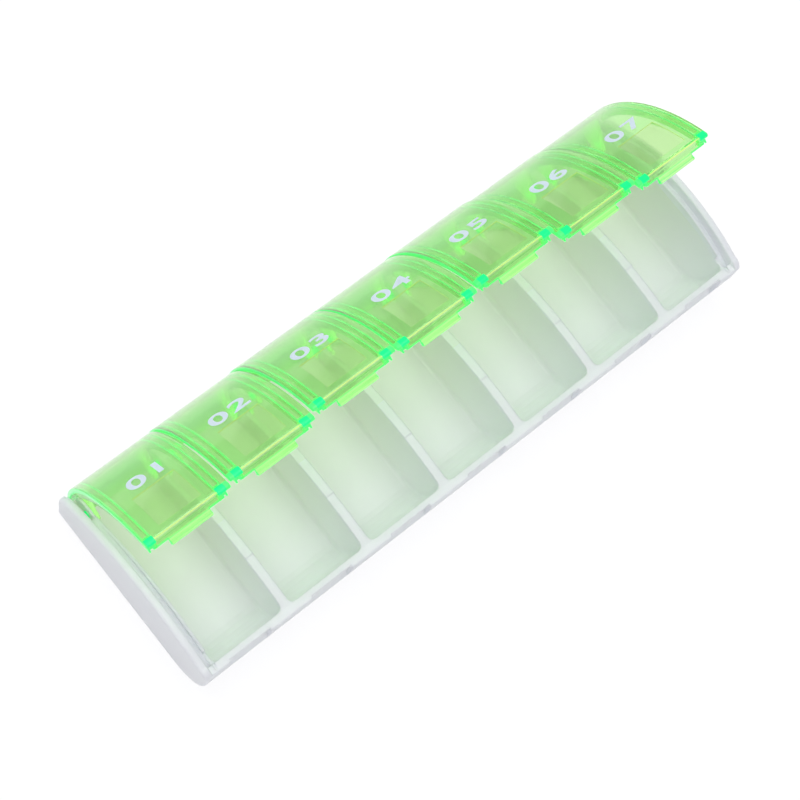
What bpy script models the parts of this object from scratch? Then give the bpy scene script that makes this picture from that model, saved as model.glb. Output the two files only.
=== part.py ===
"""Weekly pill box: a moulded tray of seven wells under seven snap lids that swing on pins at the back.

The frame has its origin under the middle of the tray, X along the row of wells, the finger side at -Y and
Z up. The lids stand part open, each at the angle that it was left at. Lengths are in metres.
"""

import math

import bmesh
import bpy
from mathutils import Matrix, Vector

MM = 0.001
DEGREE = math.pi / 180

# Overall sizes of the tray. Its length follows from the wells and its two end walls
WELL_COUNT = 7
PITCH = 21.0 * MM
DEPTH = 48.5 * MM
RIM_Z = 18.1 * MM
HINGE_Z = 10.5 * MM

# Walls and gaps of the tray
DIVIDER = 2.0 * MM
END_WALL = 1.7 * MM
FLOOR = 1.4 * MM
BACK_WALL = 1.25 * MM
BACK_MARGIN = 0.4 * MM
BACK_WALL_DROP = 3.9 * MM
RIM_WIDTH = 2.1 * MM
RIM_EDGE = 0.5 * MM
MOVING_GAP = 0.3 * MM

# Lid shell: a wide arc that runs into a roll about the hinge line
LID_WALL = 1.2 * MM
LID_GAP = 0.4 * MM
LID_SETBACK = 1.75 * MM
LID_SEAT_GAP = 0.5 * MM
ROLL_RADIUS = 5.6 * MM
DOME_RADIUS = 43.0 * MM
ROLL_END_ANGLE = 35.0 * DEGREE
TAIL_END_ANGLE = -25.0 * DEGREE
MAX_OPEN = 105.0 * DEGREE
OPEN_DEGREES = (52.4, 53.6, 55.5, 55.1, 56.0, 53.1, 51.6)

# Pins on the lids, and the ears and bores of the tray that hold them
PIN_RADIUS = 0.85 * MM
PIN_CLEARANCE = 0.15 * MM
PIN_END_GAP = 0.3 * MM
EAR_GAP = 0.5 * MM
EAR_START = 112.0 * DEGREE
SLOT_SPARE = 8.0 * DEGREE
LUG_WALL = 0.8 * MM
LUG_RIM = 1.55 * MM
LUG_START_ANGLE = -200.0 * DEGREE
LUG_END_ANGLE = 0.0 * DEGREE

# Ribs, front skirt and corner posts under the lid
RIB_WALL = 0.4 * MM
RIB_GAP = 0.25 * MM
RIB_DEPTH = 1.5 * MM
RIB_END_ANGLE = 66.0 * DEGREE
LID_LIP = 0.25 * MM
SKIRT_WALL = 1.0 * MM
SKIRT_GAP = 0.3 * MM
SKIRT_REACH = 0.7 * MM
POST_DEPTH = 1.9 * MM
POST_EASE = 0.2 * MM

# Snap tongue in the middle of the lid's front skirt
SNAP_WIDTH = 9.8 * MM
SNAP_DROP = 1.65 * MM
SNAP_BEAD = 0.15 * MM
SNAP_BEAD_HEIGHT = 0.5 * MM

# Shallow panel sunk into the top of the lid behind its front edge
PANEL_WIDTH = 9.9 * MM
PANEL_DEPTH = 0.15 * MM
PANEL_FRONT_SHARE = 0.035
PANEL_BACK_SHARE = 0.25
PANEL_CORNER = 1.2 * MM

# Outline of the tray, seen from its end
FOOT_REACH = 8.25 * MM
BOW_DROP = 6.1 * MM
SHOULDER_RADIUS = 2.4 * MM
BACK_CORNER = 1.2 * MM
END_TOP_OFFSET = 0.5 * MM
END_EDGE = 0.6 * MM

# Thin rib inside each end wall, between the two side ribs of the outer lid
END_RIB_WALL = 0.6 * MM
END_RIB_DROP = 2.0 * MM
END_RIB_RADIUS = 36.0 * MM
END_GROOVE_SPARE = 0.5 * MM
END_GROOVE_REACH = 2.2 * MM
NOTCH_SPARE = 0.75 * MM

# Top edge of the dividers, with a small step across it
DIVIDER_TOP_RADIUS = 60.0 * MM
STEP_REACH = 14.65 * MM
STEP_HEIGHT = 0.15 * MM

# Wells
WELL_CORNER = 1.3 * MM
WELL_BACK_RADIUS = 3.0 * MM

# Thumb recesses in the front wall, measured down from the rim
THUMB_WIDTH = 10.4 * MM
THUMB_DEPTH = 0.75 * MM
THUMB_SCOOP = 1.2 * MM
THUMB_LIP_DROP = 1.1 * MM
THUMB_DEEP_DROP = 3.1 * MM
THUMB_LOW_DROP = 6.1 * MM
THUMB_FOOT_DROP = 8.6 * MM

# How finely the curves are drawn, and how far cutters run past what they cut
OVERRUN = 1.0 * MM
NEARNESS = 0.01 * MM
ARC_STEP = 7.0 * DEGREE
TOP_STEP = 2.5 * DEGREE
SMOOTH_ANGLE = 30.0 * DEGREE
TURN_SEGMENTS = 20
FILLET_STEPS = 3
NOSE_STEPS = 4
BOW_STEPS = 8


def centre_below(near, near_radius, far, far_radius):
    """The centre that lies near_radius from one point and far_radius from another, on their lower side."""
    across_y = far[0] - near[0]
    across_z = far[1] - near[1]
    span = math.hypot(across_y, across_z)
    along = (near_radius ** 2 - far_radius ** 2 + span ** 2) / (2 * span)
    down = math.sqrt(near_radius ** 2 - along ** 2)
    unit_y = across_y / span
    unit_z = across_z / span
    side = -1 if unit_y > 0 else 1
    return (
        near[0] + along * unit_y - side * down * unit_z,
        near[1] + along * unit_z + side * down * unit_y,
    )


# Planes along the depth
FRONT_Y = -DEPTH / 2
BACK_Y = DEPTH / 2
WELL_FRONT_Y = FRONT_Y + RIM_WIDTH
WELL_BACK_Y = BACK_Y - BACK_WALL
HINGE_Y = BACK_Y - ROLL_RADIUS - BACK_MARGIN
LID_FRONT_Y = FRONT_Y + LID_SETBACK
SKIRT_FRONT_Y = WELL_FRONT_Y + SKIRT_GAP
FOOT_FRONT_Y = FRONT_Y + FOOT_REACH
STEP_Y = FRONT_Y + STEP_REACH
NOTCH_BACK_Y = SKIRT_FRONT_Y + POST_DEPTH + NOTCH_SPARE
GROOVE_BACK_Y = HINGE_Y - END_GROOVE_REACH

# Radii about the hinge line
SWING_RADIUS = ROLL_RADIUS + MOVING_GAP
EAR_RADIUS = ROLL_RADIUS - LID_WALL - EAR_GAP
HOLE_RADIUS = PIN_RADIUS + PIN_CLEARANCE
LUG_RADIUS = PIN_RADIUS + LUG_RIM

# Heights
BOW_Z = RIM_Z - BOW_DROP
BACK_WALL_Z = HINGE_Z - BACK_WALL_DROP
SKIRT_Z = RIM_Z - SKIRT_REACH
NOTCH_Z = SKIRT_Z - MOVING_GAP
GROOVE_DEPTH = LID_WALL + RIB_DEPTH + END_GROOVE_SPARE
GROOVE_BACK_Z = HINGE_Z - SWING_RADIUS - MOVING_GAP

# Planes across a lid, counted from its middle, and across the tray
WELL_HALF = (PITCH - DIVIDER) / 2
OUTER_RIB_X = WELL_HALF - RIB_GAP - RIB_WALL / 2
OUTER_RIB_EDGE = OUTER_RIB_X + RIB_WALL / 2
END_RIB_OUTER = OUTER_RIB_X - RIB_WALL / 2 - RIB_GAP
END_RIB_INNER = END_RIB_OUTER - END_RIB_WALL
INNER_RIB_X = END_RIB_INNER - MOVING_GAP - RIB_WALL / 2
LID_EDGE_BY_LID = (PITCH - LID_GAP) / 2
LID_EDGE_BY_END = OUTER_RIB_EDGE + LID_LIP
LAST_CENTRE = (WELL_COUNT - 1) / 2 * PITCH
RIB_X = LAST_CENTRE + END_RIB_INNER
GROOVE_X = LAST_CENTRE + END_RIB_OUTER
INNER_X = LAST_CENTRE + LID_EDGE_BY_END + MOVING_GAP
OUTER_X = INNER_X + END_WALL

# Centre of the lid's wide arc: tangent to the roll inside, and over the nose of a closed lid
NOSE_RADIUS = LID_WALL / 2
NOSE = (LID_FRONT_Y + NOSE_RADIUS, RIM_Z + LID_SEAT_GAP + NOSE_RADIUS)
CENTRE_Y, CENTRE_Z = centre_below(
    (HINGE_Y, HINGE_Z), DOME_RADIUS - ROLL_RADIUS, NOSE, DOME_RADIUS - NOSE_RADIUS
)
TANGENT_ANGLE = math.atan2(HINGE_Z - CENTRE_Z, HINGE_Y - CENTRE_Y)
NOSE_ANGLE = math.atan2(NOSE[1] - CENTRE_Z, NOSE[0] - CENTRE_Y)
HIGH_Z = CENTRE_Z + DOME_RADIUS + OVERRUN


def clear_scene():
    """Remove every object that the file opened with."""
    for item in list(bpy.data.objects):
        bpy.data.objects.remove(item, do_unlink=True)


def moulded_plastic(name, colour, roughness, transmission):
    """Plain plastic with a colour, a gloss and how clear it is."""
    material = bpy.data.materials.new(name)
    material.use_nodes = True
    shader = material.node_tree.nodes["Principled BSDF"]
    shader.inputs["Base Color"].default_value = (*colour, 1.0)
    shader.inputs["Roughness"].default_value = roughness
    shader.inputs["Metallic"].default_value = 0.0
    shader.inputs["Transmission Weight"].default_value = transmission
    return material


def arc(centre_y, centre_z, radius, start, stop):
    """Points on a circle in the YZ plane, from one angle to the other, ends included."""
    count = max(2, math.ceil(abs(stop - start) / ARC_STEP))
    angles = [start + (stop - start) * i / count for i in range(count + 1)]
    return [(centre_y + radius * math.cos(a), centre_z + radius * math.sin(a)) for a in angles]


def dome_z(y, offset):
    """Height of the lid's arc at y, on a copy of the arc drawn in by offset."""
    radius = DOME_RADIUS - offset
    return CENTRE_Z + math.sqrt(radius ** 2 - (y - CENTRE_Y) ** 2)


def dome_angle(y, offset):
    """Angle of the point at y about the centre of the lid's arc."""
    return math.acos((y - CENTRE_Y) / (DOME_RADIUS - offset))


def shell_line(offset, front_angle, end_angle):
    """The lid's curve from its front back over the dome and down the roll, drawn in by offset."""
    dome = arc(CENTRE_Y, CENTRE_Z, DOME_RADIUS - offset, front_angle, TANGENT_ANGLE)
    roll = arc(HINGE_Y, HINGE_Z, ROLL_RADIUS - offset, TANGENT_ANGLE, end_angle)
    return dome + roll[1:]


def skin_outline():
    """The lid's wall seen from its end, with a full round nose at its front edge."""
    outer = shell_line(0.0, NOSE_ANGLE, ROLL_END_ANGLE)
    inner = shell_line(LID_WALL, NOSE_ANGLE, ROLL_END_ANGLE)
    turns = [math.pi * (1 - i / NOSE_STEPS) for i in range(1, NOSE_STEPS)]
    nose = [
        (
            NOSE[0] + NOSE_RADIUS * math.cos(NOSE_ANGLE + turn),
            NOSE[1] + NOSE_RADIUS * math.sin(NOSE_ANGLE + turn),
        )
        for turn in turns
    ]
    return outer + list(reversed(inner)) + nose


def prism(name, outline, low_x, high_x):
    """A solid with the same YZ outline all along X, as a new object."""
    shape = bmesh.new()
    near = [shape.verts.new((low_x, y, z)) for y, z in outline]
    far = [shape.verts.new((high_x, y, z)) for y, z in outline]
    shape.faces.new(near)
    shape.faces.new(list(reversed(far)))
    for i in range(len(outline)):
        j = (i + 1) % len(outline)
        shape.faces.new((near[j], near[i], far[i], far[j]))
    bmesh.ops.recalc_face_normals(shape, faces=shape.faces)
    return finished(name, shape)


def finished(name, shape):
    """Put a bmesh into a new object of the scene."""
    mesh = bpy.data.meshes.new(name)
    shape.to_mesh(mesh)
    shape.free()
    item = bpy.data.objects.new(name, mesh)
    bpy.context.collection.objects.link(item)
    return item


def joined(name, items):
    """Join objects that don't touch each other into one."""
    shape = bmesh.new()
    for item in items:
        item.data.transform(item.matrix_world)
        shape.from_mesh(item.data)
        bpy.data.objects.remove(item, do_unlink=True)
    return finished(name, shape)


def as_tool(item):
    """Mark an object as a tool that shapes another one."""
    item.hide_render = True
    item.display_type = "WIRE"
    item.hide_set(True)
    return item


def apply_boolean(target, tool, operation):
    """Cut or add a tool on a piece for good, and take the tool away."""
    step = target.modifiers.new(operation, "BOOLEAN")
    step.operation = operation
    step.object = as_tool(tool)
    step.solver = "EXACT"
    bpy.context.view_layer.update()
    graph = bpy.context.evaluated_depsgraph_get()
    result = bpy.data.meshes.new_from_object(target.evaluated_get(graph))
    target.modifiers.clear()
    target.data = result
    bpy.data.objects.remove(tool, do_unlink=True)


def well_centres():
    """X of the middle of each well, from left to right."""
    return [i * PITCH - LAST_CENTRE for i in range(WELL_COUNT)]


def quarter_bow(reach_y, height):
    """The front wall's bow, a quarter of an ellipse from the foot up to where the wall stands upright."""
    angles = [math.pi / 2 * i / BOW_STEPS for i in range(BOW_STEPS + 1)]
    return [(FOOT_FRONT_Y - reach_y * math.sin(a), BOW_Z - height * math.cos(a)) for a in angles]


def tray_outline():
    """The tray seen from its end, with the domed top of the end walls."""
    shoulder_y = FRONT_Y + SHOULDER_RADIUS
    shoulder_z = dome_z(shoulder_y, END_TOP_OFFSET) - SHOULDER_RADIUS
    bow = quarter_bow(FOOT_REACH, BOW_Z)
    shoulder = arc(shoulder_y, shoulder_z, SHOULDER_RADIUS, math.pi, math.pi / 2)
    dome = shell_line(END_TOP_OFFSET, dome_angle(shoulder_y, END_TOP_OFFSET), 0.0)
    back = [(BACK_Y, HINGE_Z - BACK_MARGIN - END_TOP_OFFSET)]
    foot = arc(BACK_Y - BACK_CORNER, BACK_CORNER, BACK_CORNER, 0.0, -math.pi / 2)
    return bow + shoulder + dome[1:] + back + foot


def ear_point():
    """Where the top edge of an upright plate meets its round ear at the hinge."""
    return (
        HINGE_Y + EAR_RADIUS * math.cos(EAR_START),
        HINGE_Z + EAR_RADIUS * math.sin(EAR_START),
    )


def arc_over(centre, radius, start, stop):
    """Points of a flat arc about a centre, from over one point to over another."""
    angles = [math.atan2(z - centre[1], y - centre[0]) for y, z in (start, stop)]
    count = max(2, math.ceil((angles[0] - angles[1]) / TOP_STEP))
    turns = [angles[0] + (angles[1] - angles[0]) * i / count for i in range(count + 1)]
    return [(centre[0] + radius * math.cos(a), centre[1] + radius * math.sin(a)) for a in turns]


def divider_line():
    """Top edge of a divider from the rim to its ear, a flat arc with a small step up across it."""
    start = (WELL_FRONT_Y, RIM_Z)
    stop = ear_point()
    radius = DIVIDER_TOP_RADIUS
    centre = centre_below(start, radius, stop, radius)
    step = (STEP_Y, centre[1] + math.sqrt(radius ** 2 - (STEP_Y - centre[0]) ** 2))
    front = arc_over(centre, radius, start, step)
    return front + arc_over(centre, radius + STEP_HEIGHT, step, stop)


def end_rib_line():
    """Top edge of the thin end rib, an arc a little way under the closed lid."""
    start = (WELL_FRONT_Y, dome_z(WELL_FRONT_Y, END_RIB_DROP))
    stop = ear_point()
    centre = centre_below(start, END_RIB_RADIUS, stop, END_RIB_RADIUS)
    return arc_over(centre, END_RIB_RADIUS, start, stop)


def rim_line():
    """The front rim's rounded outer edge, up to its flat top."""
    return arc(FRONT_Y + RIM_EDGE, RIM_Z - RIM_EDGE, RIM_EDGE, math.pi, math.pi / 2)


def space_over(line):
    """The space over and behind an upright plate with an ear at the hinge, as an outline to cut away."""
    slot_end = ROLL_END_ANGLE - MAX_OPEN - SLOT_SPARE
    wall_angle = -math.asin((HINGE_Z - BACK_WALL_Z) / SWING_RADIUS)
    ear = arc(HINGE_Y, HINGE_Z, EAR_RADIUS, EAR_START, slot_end)
    slot = arc(HINGE_Y, HINGE_Z, SWING_RADIUS, slot_end, wall_angle)
    front = [(FRONT_Y - OVERRUN, HIGH_Z), (FRONT_Y - OVERRUN, RIM_Z - RIM_EDGE)]
    back = [(BACK_Y + OVERRUN, BACK_WALL_Z), (BACK_Y + OVERRUN, HIGH_Z)]
    return front + rim_line() + line + ear[1:] + slot + back


def rim_outline():
    """The space over the front rim beside the end groove, as an outline to cut away."""
    front = [(FRONT_Y - OVERRUN, HIGH_Z), (FRONT_Y - OVERRUN, RIM_Z - RIM_EDGE)]
    back_y = WELL_FRONT_Y + OVERRUN
    return front + rim_line() + [(back_y, RIM_Z), (back_y, HIGH_Z)]


def notch_outline():
    """The notch behind the rim that takes the front post of a lid by an end wall."""
    return [
        (WELL_FRONT_Y, HIGH_Z),
        (WELL_FRONT_Y, NOTCH_Z),
        (NOTCH_BACK_Y, NOTCH_Z),
        (NOTCH_BACK_Y, HIGH_Z),
    ]


def groove_outline():
    """The groove inside an end wall, which follows the lid's arc and is deep behind the hinge."""
    angles = [dome_angle(y, GROOVE_DEPTH) for y in (WELL_FRONT_Y, GROOVE_BACK_Y)]
    front = [(WELL_FRONT_Y, HIGH_Z)]
    floor = arc(CENTRE_Y, CENTRE_Z, DOME_RADIUS - GROOVE_DEPTH, *angles)
    back = [
        (GROOVE_BACK_Y, GROOVE_BACK_Z),
        (WELL_BACK_Y, GROOVE_BACK_Z),
        (WELL_BACK_Y, BACK_WALL_Z),
        (BACK_Y + OVERRUN, BACK_WALL_Z),
        (BACK_Y + OVERRUN, HIGH_Z),
    ]
    return front + floor + back


def well_outline():
    """The inside of a well seen from its end: bowed front, flat floor and a rounded back corner."""
    high_z = HIGH_Z + OVERRUN
    bow = quarter_bow(FOOT_FRONT_Y - WELL_FRONT_Y, BOW_Z - FLOOR)
    corner_y = WELL_BACK_Y - WELL_BACK_RADIUS
    corner = arc(corner_y, FLOOR + WELL_BACK_RADIUS, WELL_BACK_RADIUS, -math.pi / 2, 0.0)
    return bow + [(WELL_FRONT_Y, high_z), (WELL_BACK_Y, high_z)] + list(reversed(corner))


def soft_ended(item, radius):
    """Round the edges at both ends of a prism, which turns a cut made with it into a filleted one."""
    shape = bmesh.new()
    shape.from_mesh(item.data)
    ends = [edge for edge in shape.edges if edge.verts[0].co.x == edge.verts[1].co.x]
    bmesh.ops.bevel(
        shape, geom=ends, offset=radius, segments=FILLET_STEPS, profile=0.5, affect="EDGES"
    )
    shape.to_mesh(item.data)
    shape.free()
    return item


def wells():
    """The seven well cutters, the outer two narrowed by the end ribs."""
    cutters = []
    for centre in well_centres():
        low_x = max(centre - WELL_HALF, -RIB_X)
        high_x = min(centre + WELL_HALF, RIB_X)
        cutters.append(soft_ended(prism("well_cutter", well_outline(), low_x, high_x), WELL_CORNER))
    return joined("well_cutters", cutters)


def thumb_recesses():
    """A scooped recess in the front wall under the middle of each lid."""
    outline = [
        (FRONT_Y - OVERRUN, RIM_Z + OVERRUN),
        (FRONT_Y + THUMB_DEPTH, RIM_Z + OVERRUN),
        (FRONT_Y + THUMB_DEPTH, RIM_Z - THUMB_LIP_DROP),
        (FRONT_Y + THUMB_SCOOP, RIM_Z - THUMB_DEEP_DROP),
        (FRONT_Y + THUMB_DEPTH, RIM_Z - THUMB_LOW_DROP),
        (FRONT_Y, RIM_Z - THUMB_FOOT_DROP),
        (FRONT_Y - OVERRUN, RIM_Z - THUMB_FOOT_DROP),
    ]
    half = THUMB_WIDTH / 2
    return joined(
        "thumb_cutters", [prism("thumb", outline, c - half, c + half) for c in well_centres()]
    )


def end_blocks(outline, inner_x, outer_x):
    """The same outline cut at both ends of the tray."""
    left = prism("left_cutter", outline, -outer_x, -inner_x)
    right = prism("right_cutter", outline, inner_x, outer_x)
    return joined("end_cutters", [left, right])


def hinge_bore():
    """One bore along the hinge line, through every divider ear and both end ribs."""
    ring = [
        (HINGE_Y + HOLE_RADIUS * math.cos(a), HINGE_Z + HOLE_RADIUS * math.sin(a))
        for a in (2 * math.pi * i / TURN_SEGMENTS for i in range(TURN_SEGMENTS))
    ]
    return prism("bore_cutter", ring, -INNER_X, INNER_X)


def build_tray(material):
    """The tray: outer block, bay over the dividers, end ribs and grooves, wells, recesses and bores."""
    tray = soft_ended(prism("tray", tray_outline(), -OUTER_X, OUTER_X), END_EDGE)
    cutters = [
        prism("bay_cutter", space_over(divider_line()), -RIB_X, RIB_X),
        end_blocks(space_over(end_rib_line()), RIB_X, GROOVE_X),
        end_blocks(notch_outline(), RIB_X - WELL_CORNER, GROOVE_X),
        end_blocks(rim_outline(), GROOVE_X, INNER_X),
        end_blocks(groove_outline(), GROOVE_X, INNER_X),
        wells(),
        thumb_recesses(),
        hinge_bore(),
    ]
    for cutter in cutters:
        apply_boolean(tray, cutter, "DIFFERENCE")
    finish(tray, material)


def finish(item, material):
    """Give a piece its material and smooth shading with crisp corners."""
    item.data.materials.clear()
    item.data.materials.append(material)
    item.data.shade_smooth()
    item.data.set_sharp_from_angle(angle=SMOOTH_ANGLE)


def band(outer, inner):
    """A closed outline between two lines that run the same way."""
    return outer + list(reversed(inner))


def lid_rib(name, middle_x):
    """A thin rib under the lid that follows the dome from the front post to the hinge lug."""
    sink = LID_WALL / 2
    front_y = SKIRT_FRONT_Y + SKIRT_WALL / 2
    low = LID_WALL + RIB_DEPTH
    upper = arc(CENTRE_Y, CENTRE_Z, DOME_RADIUS - sink, dome_angle(front_y, sink), RIB_END_ANGLE)
    lower = arc(CENTRE_Y, CENTRE_Z, DOME_RADIUS - low, dome_angle(front_y, low), RIB_END_ANGLE)
    return prism(name, band(upper, lower), middle_x - RIB_WALL / 2, middle_x + RIB_WALL / 2)


def lid_lug(name, middle_x):
    """The plate that drops from the lid to the hinge line and carries a pin."""
    sink = LID_WALL / 2
    under = arc(HINGE_Y, HINGE_Z, LUG_RADIUS, LUG_START_ANGLE, LUG_END_ANGLE)
    roll = arc(HINGE_Y, HINGE_Z, ROLL_RADIUS - sink, ROLL_END_ANGLE, TANGENT_ANGLE)
    dome = arc(CENTRE_Y, CENTRE_Z, DOME_RADIUS - sink, TANGENT_ANGLE, RIB_END_ANGLE)
    return prism(name, under + roll + dome[1:], middle_x - LUG_WALL / 2, middle_x + LUG_WALL / 2)


def pin(name, low_x, high_x):
    """A stub pin on the hinge line."""
    ring = [
        (HINGE_Y + PIN_RADIUS * math.cos(a), HINGE_Z + PIN_RADIUS * math.sin(a))
        for a in (2 * math.pi * i / TURN_SEGMENTS for i in range(TURN_SEGMENTS))
    ]
    return prism(name, ring, low_x, high_x)


def skirt_outline(back_y):
    """The lid's front skirt seen from its end, from just behind the rim back to back_y."""
    sink = LID_WALL / 2
    return [
        (SKIRT_FRONT_Y, SKIRT_Z),
        (back_y, SKIRT_Z),
        (back_y, dome_z(back_y, sink)),
        (SKIRT_FRONT_Y, dome_z(SKIRT_FRONT_Y, sink)),
    ]


def snap_outline():
    """The snap tongue seen from its end, with a small bead on its outer face."""
    back_y = SKIRT_FRONT_Y + SKIRT_WALL
    root_z = SKIRT_Z + SKIRT_WALL / 2
    tip_z = SKIRT_Z - SNAP_DROP
    return [
        (SKIRT_FRONT_Y, root_z),
        (SKIRT_FRONT_Y, tip_z + 2 * SNAP_BEAD_HEIGHT),
        (SKIRT_FRONT_Y - SNAP_BEAD, tip_z + SNAP_BEAD_HEIGHT),
        (SKIRT_FRONT_Y, tip_z),
        (back_y - SNAP_BEAD, tip_z),
        (back_y, root_z),
    ]


def rounded_edges(item, is_wanted, radius):
    """Round those edges of a solid whose two ends both pass a test."""
    shape = bmesh.new()
    shape.from_mesh(item.data)
    edges = [edge for edge in shape.edges if all(is_wanted(vert.co) for vert in edge.verts)]
    bmesh.ops.bevel(
        shape, geom=edges, offset=radius, segments=FILLET_STEPS, profile=0.5, affect="EDGES"
    )
    shape.to_mesh(item.data)
    shape.free()
    return item


def corner_post(side):
    """The solid post between the two ribs at a front corner, rounded to clear the well's corner."""
    inner_x = INNER_RIB_X - RIB_WALL / 2
    low_x, high_x = sorted((side * inner_x, side * OUTER_RIB_EDGE))
    post = prism("post", skirt_outline(SKIRT_FRONT_Y + POST_DEPTH), low_x, high_x)

    def on_front_corner(place):
        return (
            abs(place.x - side * OUTER_RIB_EDGE) < NEARNESS
            and abs(place.y - SKIRT_FRONT_Y) < NEARNESS
        )

    return rounded_edges(post, on_front_corner, WELL_CORNER - POST_EASE)


def panel_cutter():
    """The shallow panel in the lid's top, with its two back corners rounded off."""
    span = NOSE_ANGLE - TANGENT_ANGLE
    front = NOSE_ANGLE - span * PANEL_FRONT_SHARE
    back = NOSE_ANGLE - span * PANEL_BACK_SHARE
    outer = arc(CENTRE_Y, CENTRE_Z, DOME_RADIUS + OVERRUN, front, back)
    inner = arc(CENTRE_Y, CENTRE_Z, DOME_RADIUS - PANEL_DEPTH, front, back)
    panel = prism("panel_cutter", band(outer, inner), -PANEL_WIDTH / 2, PANEL_WIDTH / 2)
    sides = []
    for side in (-PANEL_WIDTH / 2, PANEL_WIDTH / 2):
        sides.append([Vector((side, *point)) for point in (outer[-1], inner[-1])])

    for corners in sides:
        rounded_edges(
            panel, lambda place: any((place - c).length < NEARNESS for c in corners), PANEL_CORNER
        )
    return panel


def lid_shape(left_is_end, right_is_end):
    """One lid in its closed place over a well centred on X = 0. A lid by an end wall is narrower there."""
    ends = (left_is_end, right_is_end)
    edges = [LID_EDGE_BY_END if is_end else LID_EDGE_BY_LID for is_end in ends]
    pins = [LID_EDGE_BY_END if is_end else (PITCH - PIN_END_GAP) / 2 for is_end in ends]
    tails = [INNER_RIB_X + RIB_WALL / 2 if is_end else OUTER_RIB_EDGE for is_end in ends]
    tail = band(
        arc(HINGE_Y, HINGE_Z, ROLL_RADIUS, ROLL_END_ANGLE + ARC_STEP, TAIL_END_ANGLE),
        arc(HINGE_Y, HINGE_Z, ROLL_RADIUS - LID_WALL, ROLL_END_ANGLE + ARC_STEP, TAIL_END_ANGLE),
    )
    skirt_x = OUTER_RIB_EDGE - WELL_CORNER + POST_EASE
    lid = prism("lid_shape", skin_outline(), -edges[0], edges[1])
    adds = [
        prism("tail", tail, -tails[0], tails[1]),
        prism("skirt", skirt_outline(SKIRT_FRONT_Y + SKIRT_WALL), -skirt_x, skirt_x),
        prism("snap", snap_outline(), -SNAP_WIDTH / 2, SNAP_WIDTH / 2),
    ]
    for side, pin_end in zip((-1, 1), pins):
        low_x, high_x = sorted((side * INNER_RIB_X, side * pin_end))
        adds += [
            corner_post(side),
            lid_rib("outer_rib", side * OUTER_RIB_X),
            lid_rib("inner_rib", side * INNER_RIB_X),
            lid_lug("lug", side * (INNER_RIB_X + (RIB_WALL - LUG_WALL) / 2)),
            pin("pin", low_x, high_x),
        ]
    for item in adds:
        apply_boolean(lid, item, "UNION")
    apply_boolean(lid, panel_cutter(), "DIFFERENCE")
    lid.data.transform(Matrix.Translation(Vector((0, -HINGE_Y, -HINGE_Z))))
    mesh = lid.data
    bpy.data.objects.remove(lid, do_unlink=True)
    return mesh


def build_lids(material):
    """The lids, each turned about its own hinge by the angle that it stands open."""
    inner = lid_shape(False, False)
    meshes = [lid_shape(True, False)] + [inner] * (WELL_COUNT - 2) + [lid_shape(False, True)]
    for index, (centre, mesh) in enumerate(zip(well_centres(), meshes)):
        lid = bpy.data.objects.new(f"lid_{index + 1}", mesh)
        bpy.context.collection.objects.link(lid)
        lid.location = (centre, HINGE_Y, HINGE_Z)
        lid.rotation_euler = (-OPEN_DEGREES[index % len(OPEN_DEGREES)] * DEGREE, 0.0, 0.0)
        finish(lid, material)


def main():
    """Build the tray and its lids."""
    clear_scene()
    white = moulded_plastic("white_polypropylene", (0.78, 0.77, 0.82), 0.42, 0.0)
    green = moulded_plastic("green_polystyrene", (0.30, 0.88, 0.18), 0.12, 0.6)
    build_tray(white)
    build_lids(green)


main()
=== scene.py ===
"""Visual model of a weekly pill box: a white moulded tray under seven clear green snap lids.

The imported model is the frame. Every new piece is worked out with numpy in the lid's closed place, turned
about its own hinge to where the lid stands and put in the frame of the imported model, in metres.
"""

import logging
import math
from dataclasses import dataclass, field
from enum import Enum

import bmesh
import bpy
import numpy as np
from mathutils import Matrix, Vector


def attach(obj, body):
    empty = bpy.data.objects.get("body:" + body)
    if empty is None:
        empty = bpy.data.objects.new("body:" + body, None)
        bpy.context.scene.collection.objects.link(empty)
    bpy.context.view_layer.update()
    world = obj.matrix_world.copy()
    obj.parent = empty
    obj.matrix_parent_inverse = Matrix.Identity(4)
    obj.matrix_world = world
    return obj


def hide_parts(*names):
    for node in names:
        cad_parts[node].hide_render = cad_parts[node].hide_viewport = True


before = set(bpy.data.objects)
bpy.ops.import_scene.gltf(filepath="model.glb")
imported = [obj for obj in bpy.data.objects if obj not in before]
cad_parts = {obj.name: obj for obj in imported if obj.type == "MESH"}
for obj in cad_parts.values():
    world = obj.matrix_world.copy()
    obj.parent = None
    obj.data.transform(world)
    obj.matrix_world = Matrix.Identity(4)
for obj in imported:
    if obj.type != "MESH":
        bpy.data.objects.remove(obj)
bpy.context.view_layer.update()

MM = 0.001
log = logging.getLogger("pill_box")


def linear(code: str) -> tuple[float, float, float, float]:
    """Turn an sRGB hex colour into the linear colour that a shader reads.

    Args:
        code: six hex digits, such as "A5F082".

    Returns:
        Linear red, green, blue and an alpha of one.
    """
    shares = [int(code[i : i + 2], 16) / 255 for i in (0, 2, 4)]
    red, green, blue = (s / 12.92 if s <= 0.04045 else ((s + 0.055) / 1.055) ** 2.4 for s in shares)
    return (red, green, blue, 1.0)


def add_node(
    tree: bpy.types.NodeTree,
    kind: str,
    settings: dict[str, object] | None = None,
    links: dict[str, bpy.types.NodeSocket] | None = None,
) -> bpy.types.Node:
    """Add one shader node with its settings and links.

    Args:
        tree: the material's or world's node tree.
        kind: the node's type name.
        settings: values by name, of the node's own properties or else of its inputs.
        links: output sockets to link, by the name or the number of the input.

    Returns:
        The new node.
    """
    node = tree.nodes.new(kind)
    for name, value in (settings or {}).items():
        if hasattr(node, name):
            setattr(node, name, value)
        else:
            node.inputs[int(name) if name.isdigit() else name].default_value = value
    for name, socket in (links or {}).items():
        tree.links.new(socket, node.inputs[int(name) if name.isdigit() else name])
    return node


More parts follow.
